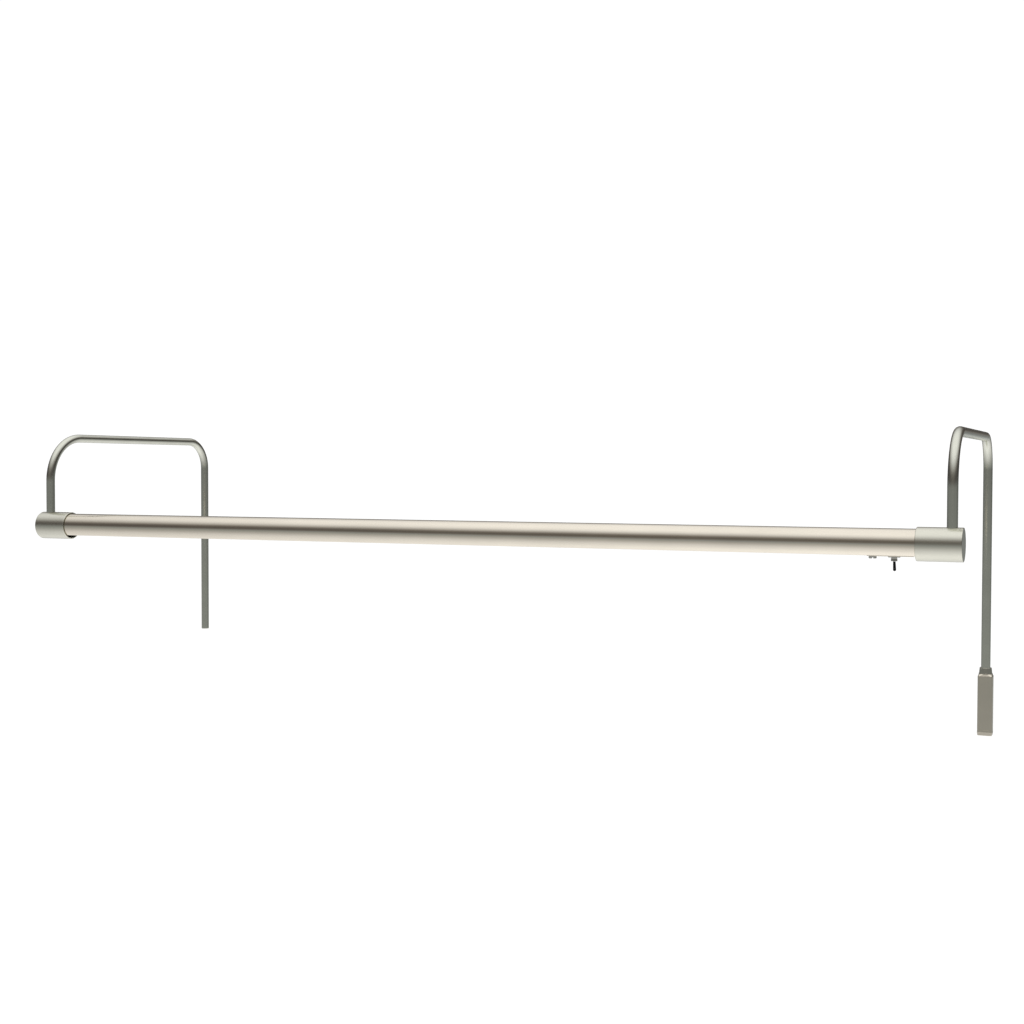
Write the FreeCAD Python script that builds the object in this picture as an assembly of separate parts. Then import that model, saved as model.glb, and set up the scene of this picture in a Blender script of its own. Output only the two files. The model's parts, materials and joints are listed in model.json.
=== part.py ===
import FreeCAD, Part
import math
import os
from FreeCAD import Vector

# A tubular light bar that hangs between two bent arms.
# Every shape is drawn about the middle of the lamp's own axis: +X to the right, +Y to the rear,
# +Z up, millimetres. save() then moves it so that the origin is the centre of the left leg's end.

# Overall
LENGTH = 1070.0
REACH = 312.7
TOP_Z = 105.3
LEG_END_Z = -156.0

# Arms
ARM_R = 5.0
ARM_WALL = 1.0
ARM_INSET = 10.4
ARM_X = LENGTH / 2 - ARM_INSET
ARM_FOOT_Z = -6.0
ARM_WINDOW_R = 2.4
FRONT_BEND = 52.0
REAR_BEND = 36.0
RIGHT_LEG_EXTRA = 16.0

# End caps
CAP_R = 16.0
CAP_LENGTH = 42.2
CAP_WALL = 1.4
CAP_WEB = 21.0
CAP_CHAMFER = 0.4
CAP_RIM_CHAMFER = 0.7
ARM_GRUB_R = 2.0
ARM_GRUB_END = 12.5
ARM_GRUB_Z = 7.5

# Lamp tube
TUBE_R = 14.2
TUBE_WALL = 1.5
TUBE_BORE = TUBE_R - TUBE_WALL
TUBE_END = 510.0
DIFFUSER_LEFT = -501.0
LIP_Z = -11.25
LIP_Y = 7.0
LEDGE_Z = -10.0
SLOT_TOP_Z = -8.0
DIFFUSER_TOP_Z = -8.9
RAIL_Y = 10.6
RAIL_T = 1.0
END_BORE_LENGTH = 12.0

# Light engine
CARRIER_LEFT = -490.0
CARRIER_T = 1.5
CARRIER_W = 24.0
BOARD_W = 12.0
BOARD_T = 1.0
BOARD_RIGHT = 440.0
BOARD_LEFT = -474.0
CHIP_PITCH = 16.0
CHIP_SIZE = (3.5, 2.8, 0.7)

# Swivels
STUD_R = 5.0
STUD_BORE = 3.5
STUD_ROOT_X = 519.0
STUD_TIP_X = 495.0
BUSH_R = 6.2
BUSH_GAP = 0.05
FLANGE_R = 14.0
PLUG_INNER_X = 502.5
PLUG_OUTER_X = 512.6
WEB_X = LENGTH / 2 - CAP_WEB
NUT_FLATS = 14.0
NUT_X = (496.0, 500.2)
WASHER_X = (500.3, 501.4)
WASHER_R = 8.6
BUSH_FLANGE_R = 9.5
PLUG_SCREW_X = 506.5
PLUG_SCREW_R = 1.2
PLUG_SCREW_HEAD_R = 2.4

# Control section on the underside
PLATE_X = (448.2, 491.3)
PLATE_HALF_W = 8.4
PLATE_Z = (-11.8, -11.3)
PLATE_CHAMFER = 0.3
SCREW_X = 452.7
SCREW_HEAD_R = 3.65
SCREW_HEAD_H = 2.8
SCREW_SLOT_TURN = 9.5
SCREW_SLOT = (1.2, 1.3)
SCREW_SHANK_R = 1.95
SCREW_TIP_Z = -6.5
NUT_BAR_X = (448.4, 457.2)
NUT_BAR_Y = 7.6
NUT_BAR_TOP_Z = -7.5
SWITCH_X = 472.5
SWITCH_CASE = (13.0, 8.0)
SWITCH_TOP_Z = -1.2
TAB_X = 2.35
TAB_SIZE = (0.7, 2.1)
TAB_Z = (-3.1, 2.6)
BUSHING_R = 3.1
BUSHING_BORE = 2.35
BUSHING_Z = (-16.5, -9.5)
LOCK_WASHER = (5.2, 0.3)
DRESS_NUT = (5.7, 0.8)
FLUTES = 18
LEVER_PIVOT_Z = -12.4
LEVER_TIP_Z = -25.95
LEVER_R = 1.42
LEVER_NECK_R = 1.15
LEVER_BALL_R = 1.75
LEVER_THROW = 14.0
LEVER_PIN_R = 0.45
LEVER_PIN_HALF = 2.9
LEVER_STEM = (0.9, 1.8)

# Power inlet at the foot of the right arm
COLLAR_Z = (-158.9, -152.0)
COLLAR_R = 7.05
COLLAR_TOP_R = 6.5
COLLAR_FLANGE = (7.3, 0.8)
SHOULDER_Z = -161.2
SHOULDER_HALF = 6.9
SHOULDER_CORNER = 5.6
HOUSING_HALF = 8.0
HOUSING_CORNER = 2.4
HOUSING_Z = -223.7
HOUSING_WALL = 1.5
INLET_GRUB_R = 1.5
INLET_GRUB_END = 7.6
INLET_GRUB_Z = -166.0
FOOT_HALF = 8.2
FOOT_Z = -227.5
FOOT_TAPER = 0.5
FOOT_SPIGOT = 3.0
FOOT_SCREW_AT = 5.2
FOOT_SCREW_R = 1.0
FOOT_SCREW_HEAD = (1.95, 1.3)
JACK_R = 4.0
JACK_MOUTH_R = 2.8
JACK_BACK_Z = -216.7
JACK_TOP_Z = -211.7
JACK_PIN_R = 1.05
JACK_TAB = (2.0, 0.6, 2.4, 5.0)

# Leads
WIRE_R = 0.65
WIRE_PITCH = 1.6
WIRE_BEND = 4.0
SPLIT_X = 506.0
SPLIT_GAP = 0.1
LEADS_START_Z = -205.7
TAB_WIRE_Z = 1.4

GAP = 0.05
ORIGIN = Vector(-ARM_X, REACH, LEG_END_Z)


def cylinder(axis, start, end, radius, centre=(0.0, 0.0)):
    """A round bar along X, Y or Z from start to end; centre gives its other two coordinates."""
    low, high = min(start, end), max(start, end)
    a, b = centre
    place = {"X": Vector(low, a, b), "Y": Vector(a, low, b), "Z": Vector(a, b, low)}[axis]
    way = {"X": Vector(1, 0, 0), "Y": Vector(0, 1, 0), "Z": Vector(0, 0, 1)}[axis]
    return Part.makeCylinder(radius, high - low, place, way)


def ring(axis, start, end, outer, inner, centre=(0.0, 0.0)):
    """A hollow round bar; its hole is cut right through."""
    hole = cylinder(axis, min(start, end) - 1, max(start, end) + 1, inner, centre)
    return cylinder(axis, start, end, outer, centre).cut(hole)


def block(x, y, z):
    """A box from three (low, high) pairs."""
    return Part.makeBox(x[1] - x[0], y[1] - y[0], z[1] - z[0], Vector(x[0], y[0], z[0]))


def hexagon(start, end, flats):
    """A hexagonal bar along X."""
    corner = flats / math.sqrt(3)
    turns = [math.radians(60 * k + 30) for k in range(7)]
    points = [Vector(start, corner * math.cos(t), corner * math.sin(t)) for t in turns]
    return Part.Face(Part.makePolygon(points)).extrude(Vector(end - start, 0, 0))


def rounded_path(points, radii):
    """Straight runs through the points, joined by tangent arcs of the given radii."""
    points = [Vector(*p) for p in points]
    edges = []
    last = points[0]
    for before, corner, after, radius in zip(points, points[1:], points[2:], radii):
        back = (before - corner).normalize()
        ahead = (after - corner).normalize()
        half = back.getAngle(ahead) / 2
        start = corner + back * (radius / math.tan(half))
        end = corner + ahead * (radius / math.tan(half))
        middle_way = (back + ahead).normalize()
        middle = corner + middle_way * (radius / math.sin(half) - radius)
        if (start - last).Length > 1e-6:
            edges.append(Part.LineSegment(last, start).toShape())
        edges.append(Part.Arc(start, middle, end).toShape())
        last = end
    edges.append(Part.LineSegment(last, points[-1]).toShape())
    return Part.Wire(edges)


def pipe(points, radii, radius):
    """A round solid along a rounded path."""
    path = rounded_path(points, radii)
    direction = Vector(*points[1]) - Vector(*points[0])
    circle = Part.Wire([Part.makeCircle(radius, Vector(*points[0]), direction)])
    return path.makePipeShell([circle], True, True)


def mirrored(shape):
    """The same piece at the other end of the bar."""
    return shape.mirror(Vector(0, 0, 0), Vector(1, 0, 0))


def arm(x, leg_end):
    """The bent tube: up from the cap, back over the top and down to the leg's end."""
    points = [(x, 0, ARM_FOOT_Z), (x, 0, TOP_Z), (x, REACH, TOP_Z), (x, REACH, leg_end)]
    bends = [FRONT_BEND, REAR_BEND]
    tube = pipe(points, bends, ARM_R).cut(pipe(points, bends, ARM_R - ARM_WALL))
    window = cylinder("X", x, x - math.copysign(ARM_R + 1, x), ARM_WINDOW_R)
    return tube.cut(window)


def end_cap():
    """The right-hand cup: open towards the lamp, with the arm's socket in its solid end."""
    face = LENGTH / 2
    mouth = face - CAP_LENGTH
    cap = cylinder("X", mouth, face, CAP_R)
    for x, size in ((face, CAP_CHAMFER), (mouth, CAP_RIM_CHAMFER)):
        rim = [e for e in cap.Edges if abs(e.CenterOfMass.x - x) < 1e-6]
        cap = cap.makeChamfer(size, rim)
    cap = cap.cut(cylinder("X", mouth - 1, WEB_X, CAP_R - CAP_WALL))
    cap = cap.cut(cylinder("Z", ARM_FOOT_Z - 0.2, CAP_R + 1, ARM_R + GAP, (ARM_X, 0)))
    cap = cap.cut(cylinder("X", WEB_X - 1, ARM_X, STUD_BORE))
    cap = cap.cut(cylinder("X", WEB_X - 1, STUD_ROOT_X + GAP, STUD_R + GAP))
    return cap.cut(cylinder("Y", 0, CAP_R + 1, ARM_GRUB_R + GAP, (ARM_X, ARM_GRUB_Z)))


def arm_grub():
    """The set screw in the rear of the cap that locks the arm in its socket."""
    centre = (ARM_X, ARM_GRUB_Z)
    screw = cylinder("Y", ARM_R + GAP, ARM_GRUB_END, ARM_GRUB_R, centre)
    return screw.cut(hex_socket_y(ARM_GRUB_END, ARM_GRUB_R, centre))


def hex_socket_y(mouth, flats, centre):
    """A hexagonal key socket sunk from its mouth towards -Y."""
    corner = flats / math.sqrt(3)
    turns = [math.radians(60 * k) for k in range(7)]
    x, z = centre
    points = [Vector(x + corner * math.cos(t), mouth, z + corner * math.sin(t)) for t in turns]
    return Part.Face(Part.makePolygon(points)).extrude(Vector(0, -2.0, 0))


def stud():
    """The hollow stud that the lamp swivels on; it is screwed into the cap's solid end."""
    return ring("X", STUD_TIP_X, STUD_ROOT_X, STUD_R, STUD_BORE)


def stud_nut():
    """The nut that sets how stiffly the swivel turns."""
    start, end = NUT_X
    nut = hexagon(start, end, NUT_FLATS)
    return nut.cut(cylinder("X", start - 1, end + 1, STUD_R + GAP))


def wave_washer():
    """The spring washer between the nut and the lamp's end plug."""
    return ring("X", *WASHER_X, WASHER_R, STUD_R + 0.15)


def end_plug():
    """The disc that closes the lamp tube and carries the swivel bush."""
    body = cylinder("X", PLUG_INNER_X, TUBE_END, TUBE_BORE - GAP)
    flange = cylinder("X", TUBE_END + GAP, PLUG_OUTER_X, FLANGE_R)
    plug = body.fuse(flange).fuse(cylinder("X", TUBE_END, TUBE_END + GAP, TUBE_BORE - GAP))
    plug = plug.removeSplitter()
    plug = plug.cut(cylinder("X", PLUG_INNER_X - 1, PLUG_OUTER_X + 1, BUSH_R + GAP))
    for side in (1, -1):
        start, end = side * (BUSH_R + 1.5), side * (TUBE_BORE + 1)
        plug = plug.cut(cylinder("Y", start, end, PLUG_SCREW_R + GAP, (PLUG_SCREW_X, 0)))
    return plug


def bush():
    """The nylon sleeve between the stud and the end plug, with a thrust flange."""
    sleeve = cylinder("X", PLUG_INNER_X, PLUG_OUTER_X, BUSH_R)
    flange = cylinder("X", PLUG_OUTER_X, WEB_X - 0.2, BUSH_FLANGE_R)
    shape = sleeve.fuse(flange).removeSplitter()
    return shape.cut(cylinder("X", PLUG_INNER_X - 1, WEB_X + 1, STUD_R + BUSH_GAP))


def plug_screws():
    """Two countersunk screws that hold the end plug in the tube, one at each side."""
    screws = []
    for side in (1, -1):
        centre = (PLUG_SCREW_X, 0)
        start, end = side * (BUSH_R + 1.7), side * (TUBE_R - 1.3)
        shank = cylinder("Y", start, end, PLUG_SCREW_R, centre)
        way = Vector(0, side, 0)
        neck = Vector(PLUG_SCREW_X, side * (TUBE_R - 1.5), 0)
        head = Part.makeCone(PLUG_SCREW_R, PLUG_SCREW_HEAD_R, 1.25, neck, way)
        slot = cylinder("Y", side * (TUBE_R - 0.85), side * TUBE_R, 0.7, centre)
        screws.append(shank.fuse(head).removeSplitter().cut(slot))
    return Part.makeCompound(screws)


def screw_seats(tube, sign):
    """Countersunk holes through the tube's wall for the end plug's screws."""
    for side in (1, -1):
        x = sign * PLUG_SCREW_X
        neck = Vector(x, side * (TUBE_R - 1.5), 0)
        hole_r = PLUG_SCREW_R + 0.1
        seat = Part.makeCone(hole_r, PLUG_SCREW_HEAD_R + 0.5, 1.5, neck, Vector(0, side, 0))
        hole = cylinder("Y", side * (TUBE_BORE - 1), side * (TUBE_R - 1.4), hole_r, (x, 0))
        tube = tube.cut(seat).cut(hole)
    return tube


def lamp_tube():
    """The round tube, slotted along its underside, with ledges and rails inside."""
    outer = cylinder("X", -TUBE_END, TUBE_END, TUBE_R)
    tube = outer.cut(cylinder("X", -TUBE_END - 1, TUBE_END + 1, TUBE_BORE))
    keep = cylinder("X", -TUBE_END, TUBE_END, TUBE_BORE + 0.3)
    past = TUBE_END + 1
    tube = tube.cut(block((-past, past), (-LIP_Y, LIP_Y), (-TUBE_R - 1, SLOT_TOP_Z)))
    tube = tube.cut(block((-past, past), (-TUBE_R, TUBE_R), (-TUBE_R - 1, LIP_Z)))
    for side in (1, -1):
        ledge_y = sorted((side * LIP_Y, side * TUBE_BORE))
        rail_y = sorted((side * RAIL_Y, side * TUBE_R))
        ledge = block((-TUBE_END, TUBE_END), ledge_y, (LIP_Z, LEDGE_Z))
        rail = block((-TUBE_END, TUBE_END), rail_y, (0, RAIL_T))
        tube = tube.fuse(ledge.common(keep)).fuse(rail.common(keep))
    tube = tube.removeSplitter()
    for sign in (1, -1):
        mouth = cylinder("X", sign * (TUBE_END - END_BORE_LENGTH), sign * past, TUBE_BORE)
        tube = screw_seats(tube.cut(mouth), sign)
    return tube


def diffuser():
    """The opal strip: a flange that rests on the tube's ledges and a body between its lips."""
    x = (DIFFUSER_LEFT, PLATE_X[0] - 0.6)
    rest_z = LEDGE_Z + GAP
    flange = block(x, (-LIP_Y - 0.6, LIP_Y + 0.6), (rest_z, DIFFUSER_TOP_Z))
    body = block(x, (-LIP_Y + 0.15, LIP_Y - 0.15), (LIP_Z + 0.25, rest_z))
    return flange.fuse(body).removeSplitter()


def led_carrier():
    """The aluminium strip on the tube's rails that takes the heat of the board."""
    half = CARRIER_W / 2
    low = RAIL_T + GAP
    return block((CARRIER_LEFT, BOARD_RIGHT), (-half, half), (low, low + CARRIER_T))


def led_board():
    """The circuit strip under the carrier."""
    top = RAIL_T
    half = BOARD_W / 2
    return block((BOARD_LEFT, BOARD_RIGHT), (-half, half), (top - BOARD_T + GAP, top + GAP))


def led_chips():
    """A row of light-emitting packages under the board."""
    sx, sy, sz = CHIP_SIZE
    top = RAIL_T - BOARD_T + GAP
    count = int((BOARD_RIGHT - BOARD_LEFT - 24) // CHIP_PITCH) + 1
    first = BOARD_LEFT + 10
    chips = []
    for k in range(count):
        x = first + k * CHIP_PITCH
        chips.append(block((x - sx / 2, x + sx / 2), (-sy / 2, sy / 2), (top - sz, top)))
    return Part.makeCompound(chips)


def control_plate():
    """The plate that closes the slot under the switch."""
    plate = block(PLATE_X, (-PLATE_HALF_W, PLATE_HALF_W), PLATE_Z)
    corners = [e for e in plate.Edges if abs(e.tangentAt(0).z) > 0.9]
    plate = plate.makeFillet(1.5, corners)
    under = [e for e in plate.Edges if abs(e.CenterOfMass.z - PLATE_Z[0]) < 1e-6]
    plate = plate.makeChamfer(PLATE_CHAMFER, under)
    through = (PLATE_Z[0] - 1, PLATE_Z[1] + 1)
    plate = plate.cut(cylinder("Z", *through, SCREW_SHANK_R + 0.15, (SCREW_X, 0)))
    return plate.cut(cylinder("Z", *through, BUSHING_R + GAP, (SWITCH_X, 0)))


def plate_screw():
    """A slotted pan-head screw with its head below the plate."""
    head_low = PLATE_Z[0] - SCREW_HEAD_H
    head = cylinder("Z", head_low, PLATE_Z[0], SCREW_HEAD_R, (SCREW_X, 0))
    rim = [e for e in head.Edges if abs(e.CenterOfMass.z - head_low) < 1e-6]
    head = head.makeFillet(0.7, rim)
    shank = cylinder("Z", PLATE_Z[0], SCREW_TIP_Z, SCREW_SHANK_R, (SCREW_X, 0))
    width, depth = SCREW_SLOT
    slot = block((-width / 2, width / 2), (-5, 5), (head_low - 1, head_low + depth))
    slot.rotate(Vector(0, 0, 0), Vector(0, 0, 1), SCREW_SLOT_TURN)
    slot.translate(Vector(SCREW_X, 0, 0))
    return head.fuse(shank).removeSplitter().cut(slot)


def plate_nut_bar():
    """The tapped bar above the lips that the plate screw pulls against."""
    low, high = LEDGE_Z + GAP, NUT_BAR_TOP_Z
    bar = block(NUT_BAR_X, (-NUT_BAR_Y, NUT_BAR_Y), (low, high))
    return bar.cut(cylinder("Z", low - 1, high + 1, SCREW_SHANK_R + GAP, (SCREW_X, 0)))


def switch_body():
    """The moulded case of the toggle switch."""
    half_x, half_y = SWITCH_CASE[0] / 2, SWITCH_CASE[1] / 2
    x = (SWITCH_X - half_x, SWITCH_X + half_x)
    case = block(x, (-half_y, half_y), (PLATE_Z[1] + GAP, SWITCH_TOP_Z))
    case = case.makeFillet(0.5, case.Edges)
    socket_r = BUSHING_R + GAP
    case = case.cut(cylinder("Z", PLATE_Z[0], BUSHING_Z[1], socket_r, (SWITCH_X, 0)))
    case = case.cut(Part.makeSphere(socket_r, Vector(SWITCH_X, 0, BUSHING_Z[1])))
    for at in (SWITCH_X - TAB_X, SWITCH_X + TAB_X):
        case = case.cut(tab(at, GAP, (TAB_Z[0] - 0.1, 0)))
    return case


def tab(x, margin, z):
    """A flat solder tab of the switch, or with a margin the slot that it stands in."""
    half_x, half_y = TAB_SIZE[0] / 2 + margin, TAB_SIZE[1] / 2 + margin
    return block((x - half_x, x + half_x), (-half_y, half_y), z)


def switch_bushing():
    """The threaded sleeve that the lever rocks in."""
    low, high = BUSHING_Z
    sleeve = ring("Z", low, high, BUSHING_R, BUSHING_BORE, (SWITCH_X, 0))
    start = Vector(SWITCH_X, 0, low)
    mouth = Part.makeCone(BUSHING_BORE + 0.4, BUSHING_BORE, 1.2, start, Vector(0, 0, 1))
    pin_x = (SWITCH_X - BUSHING_R - 1, SWITCH_X + BUSHING_R + 1)
    pin_hole = cylinder("X", *pin_x, LEVER_PIN_R + 0.01, (0, LEVER_PIVOT_Z))
    return sleeve.cut(mouth).cut(pin_hole)


def lever_pin():
    """The cross pin in the bushing that the lever rocks on."""
    x = (SWITCH_X - LEVER_PIN_HALF, SWITCH_X + LEVER_PIN_HALF)
    return cylinder("X", *x, LEVER_PIN_R, (0, LEVER_PIVOT_Z))


def switch_terminals():
    """The two solder tabs on the back of the switch."""
    return Part.makeCompound([tab(SWITCH_X + side * TAB_X, 0, TAB_Z) for side in (-1, 1)])


def switch_washer():
    """The lock washer above the switch's nut."""
    radius, height = LOCK_WASHER
    return ring("Z", PLATE_Z[0] - height, PLATE_Z[0], radius, BUSHING_R + GAP, (SWITCH_X, 0))


def switch_nut():
    """The thin round dress nut, with grip flutes."""
    radius, height = DRESS_NUT
    top = PLATE_Z[0] - LOCK_WASHER[1]
    nut = ring("Z", top - height, top, radius, BUSHING_R + 0.02, (SWITCH_X, 0))
    for k in range(FLUTES):
        turn = 2 * math.pi * k / FLUTES
        reach = radius + 0.3
        at = (SWITCH_X + reach * math.cos(turn), reach * math.sin(turn))
        nut = nut.cut(cylinder("Z", top - height - 1, top + 1, 0.5, at))
    return nut


def switch_lever():
    """The lever with its drilled ball, thrown to the rear."""
    length = (LEVER_PIVOT_Z - LEVER_TIP_Z) / math.cos(math.radians(LEVER_THROW))
    stem_r, stem_top = LEVER_STEM
    profile = [
        Vector(stem_r, 0, stem_top), Vector(stem_r, 0, 0), Vector(LEVER_NECK_R, 0, -2.0),
        Vector(LEVER_R, 0, -length + LEVER_R),
    ]
    tip_arc = Part.Arc(
        profile[-1],
        Vector(LEVER_R * math.sin(math.pi / 4), 0, -length + LEVER_R * (1 - math.cos(math.pi / 4))),
        Vector(0, 0, -length),
    ).toShape()
    sides = [Part.LineSegment(a, b).toShape() for a, b in zip(profile, profile[1:])]
    top = Part.LineSegment(Vector(0, 0, stem_top), profile[0]).toShape()
    core = Part.LineSegment(Vector(0, 0, -length), Vector(0, 0, stem_top)).toShape()
    outline = Part.Face(Part.Wire([top] + sides + [tip_arc, core]))
    lever = outline.revolve(Vector(0, 0, 0), Vector(0, 0, 1), 360)
    lever = lever.fuse(Part.makeSphere(LEVER_BALL_R)).removeSplitter()
    lever = lever.cut(cylinder("X", -LEVER_BALL_R - 1, LEVER_BALL_R + 1, LEVER_PIN_R + 0.03))
    lever.rotate(Vector(0, 0, 0), Vector(1, 0, 0), LEVER_THROW)
    lever.translate(Vector(SWITCH_X, 0, LEVER_PIVOT_Z))
    return lever


def inlet_collar():
    """The slightly tapered ferrule round the arm, with a thin flange on the inlet housing."""
    low, high = COLLAR_Z
    start = Vector(ARM_X, REACH, low)
    cone = Part.makeCone(COLLAR_R, COLLAR_TOP_R, high - low, start, Vector(0, 0, 1))
    rim = [e for e in cone.Edges if abs(e.CenterOfMass.z - high) < 1e-6]
    cone = cone.makeFillet(0.4, rim)
    flange_r, flange_h = COLLAR_FLANGE
    cone = cone.fuse(cylinder("Z", low, low + flange_h, flange_r, (ARM_X, REACH)))
    return cone.removeSplitter().cut(cylinder("Z", low - 1, high + 1, ARM_R + GAP, (ARM_X, REACH)))


def square_section(half, corner, z):
    """A square wire with round corners about the leg's axis."""
    straight = half - corner
    diagonal = straight + corner * math.sqrt(0.5)
    side = ((half, -straight), (half, straight), (diagonal, diagonal), (straight, half))
    edges = []
    for k in range(4):
        turn = math.radians(90 * k)
        c, s = round(math.cos(turn)), round(math.sin(turn))
        points = [
            Vector(ARM_X + a * c - b * s, REACH + a * s + b * c, z) for a, b in side
        ]
        edges.append(Part.LineSegment(points[0], points[1]).toShape())
        edges.append(Part.Arc(points[1], points[2], points[3]).toShape())
    return Part.Wire(edges)


def inlet_housing():
    """The square housing at the foot of the arm, with a sloping shoulder."""
    low, high = HOUSING_Z, SHOULDER_Z
    base = Part.Face(square_section(HOUSING_HALF, HOUSING_CORNER, low))
    body = base.extrude(Vector(0, 0, high - low))
    shoulder = [
        square_section(HOUSING_HALF, HOUSING_CORNER, high),
        square_section(SHOULDER_HALF, SHOULDER_CORNER, COLLAR_Z[0]),
    ]
    body = body.fuse(Part.makeLoft(shoulder, True, True)).removeSplitter()
    floor_of_socket = LEG_END_Z - RIGHT_LEG_EXTRA - 2
    inner = HOUSING_HALF - HOUSING_WALL
    room_x = (ARM_X - inner, ARM_X + inner)
    room_y = (REACH - inner, REACH + inner)
    body = body.cut(block(room_x, room_y, (low - 1, floor_of_socket)))
    body = body.cut(cylinder("Z", floor_of_socket - 1, COLLAR_Z[1], ARM_R + GAP, (ARM_X, REACH)))
    grub_hole = (REACH, REACH + HOUSING_HALF + 1)
    return body.cut(cylinder("Y", *grub_hole, INLET_GRUB_R + GAP, (ARM_X, INLET_GRUB_Z)))


def inlet_grub():
    """The set screw in the rear of the housing that locks it to the arm."""
    centre = (ARM_X, INLET_GRUB_Z)
    end = REACH + INLET_GRUB_END
    screw = cylinder("Y", REACH + ARM_R + GAP, end, INLET_GRUB_R, centre)
    return screw.cut(hex_socket_y(end, INLET_GRUB_R, centre))


def inlet_foot():
    """The plate that closes the housing and carries the socket."""
    sections = [
        square_section(FOOT_HALF - FOOT_TAPER, HOUSING_CORNER, FOOT_Z),
        square_section(FOOT_HALF, HOUSING_CORNER, HOUSING_Z - GAP),
    ]
    plate = Part.makeLoft(sections, True, True)
    spigot_half = HOUSING_HALF - HOUSING_WALL - 0.1
    sx = (ARM_X - spigot_half, ARM_X + spigot_half)
    sy = (REACH - spigot_half, REACH + spigot_half)
    top = HOUSING_Z + FOOT_SPIGOT
    plate = plate.fuse(block(sx, sy, (HOUSING_Z - 1, top))).removeSplitter()
    plate = plate.cut(cylinder("Z", FOOT_Z - 1, top + 1, JACK_R + GAP, (ARM_X, REACH)))
    head_r, head_h = FOOT_SCREW_HEAD
    for side in (1, -1):
        at = (ARM_X + side * FOOT_SCREW_AT, REACH + side * FOOT_SCREW_AT)
        plate = plate.cut(cylinder("Z", FOOT_Z - 1, top + 1, FOOT_SCREW_R + GAP, at))
        plate = plate.cut(cylinder("Z", FOOT_Z - 1, FOOT_Z + 0.1 + head_h, head_r + 0.1, at))
    return plate


def foot_screws():
    """Two cap screws in opposite corners of the foot, sunk in their seats."""
    low = FOOT_Z + 0.1
    head_r, head_h = FOOT_SCREW_HEAD
    screws = []
    for side in (1, -1):
        at = (ARM_X + side * FOOT_SCREW_AT, REACH + side * FOOT_SCREW_AT)
        head = cylinder("Z", low, low + head_h, head_r, at)
        head = head.cut(cylinder("Z", low - 1, low + 0.8, 0.8, at))
        shank = cylinder("Z", low + head_h, HOUSING_Z + FOOT_SPIGOT + 0.6, FOOT_SCREW_R, at)
        screws.append(head.fuse(shank).removeSplitter())
    return Part.makeCompound(screws)


def dc_socket():
    """The round low-voltage socket, with its mouth in the foot's underside."""
    low = FOOT_Z + 0.3
    barrel = cylinder("Z", low, JACK_TOP_Z, JACK_R, (ARM_X, REACH))
    return barrel.cut(cylinder("Z", low - 1, JACK_BACK_Z, JACK_MOUTH_R, (ARM_X, REACH)))


def dc_contacts():
    """The centre pin and the two solder tabs of the socket."""
    pieces = [cylinder("Z", FOOT_Z + 1.5, JACK_BACK_Z, JACK_PIN_R, (ARM_X, REACH))]
    offset, thick, wide, tall = JACK_TAB
    y = (REACH - wide / 2, REACH + wide / 2)
    for side in (1, -1):
        x = ARM_X + side * offset
        pieces.append(block((x - thick / 2, x + thick / 2), y, (JACK_TOP_Z, JACK_TOP_Z + tall)))
    return Part.makeCompound(pieces)


def arm_leads():
    """Two wires from the socket, through the right arm and its swivel stud."""
    wires = []
    for side in (1, -1):
        offset = side * WIRE_PITCH / 2
        x = ARM_X + offset
        points = [
            (x, REACH, LEADS_START_Z), (x, REACH, TOP_Z), (x, 0, TOP_Z),
            (x, 0, -offset), (SPLIT_X, 0, -offset),
        ]
        bends = [REAR_BEND, FRONT_BEND, WIRE_BEND + offset]
        wires.append(pipe(points, bends, WIRE_R))
    return Part.makeCompound(wires)


def lamp_leads():
    """The wires inside the lamp: stud to switch, switch to board, and stud to board."""
    z = WIRE_PITCH / 2
    beside_tab = TAB_X + TAB_SIZE[0] / 2
    tab_right, tab_left = SWITCH_X + beside_tab, SWITCH_X - beside_tab
    pad_x = BOARD_RIGHT - 3
    pad_z = RAIL_T - BOARD_T + GAP - WIRE_R
    start_x = SPLIT_X - SPLIT_GAP
    to_switch = [
        (start_x, 0, -z), (491, 0, -z), (483, 0, TAB_WIRE_Z), (tab_right, 0, TAB_WIRE_Z),
    ]
    to_board = [
        (tab_left, 0, TAB_WIRE_Z), (461, 0, TAB_WIRE_Z), (450, 3, pad_z), (pad_x, 3, pad_z),
    ]
    direct = [
        (start_x, 0, z), (491, 0, z), (483, -5.5, 4.0), (459, -5.5, 4.0),
        (448, -3, pad_z), (pad_x, -3, pad_z),
    ]
    wires = []
    for points in (to_switch, to_board, direct):
        wires.append(pipe(points, [WIRE_BEND] * (len(points) - 2), WIRE_R))
    return Part.makeCompound(wires)


def leg_plug():
    """The plug that closes the left leg's open end."""
    return cylinder("Z", LEG_END_Z, LEG_END_Z + 8, ARM_R - ARM_WALL - GAP, (-ARM_X, REACH))


def save(name, shape):
    """Move a piece into the row's frame and write it."""
    placed = shape.copy()
    placed.translate(-ORIGIN)
    if not placed.isValid():
        print("not valid:", name)
    print(name, "solids", len(placed.Solids), "volume %.1f" % placed.Volume)
    placed.exportStep("parts/" + name + ".step")


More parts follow.
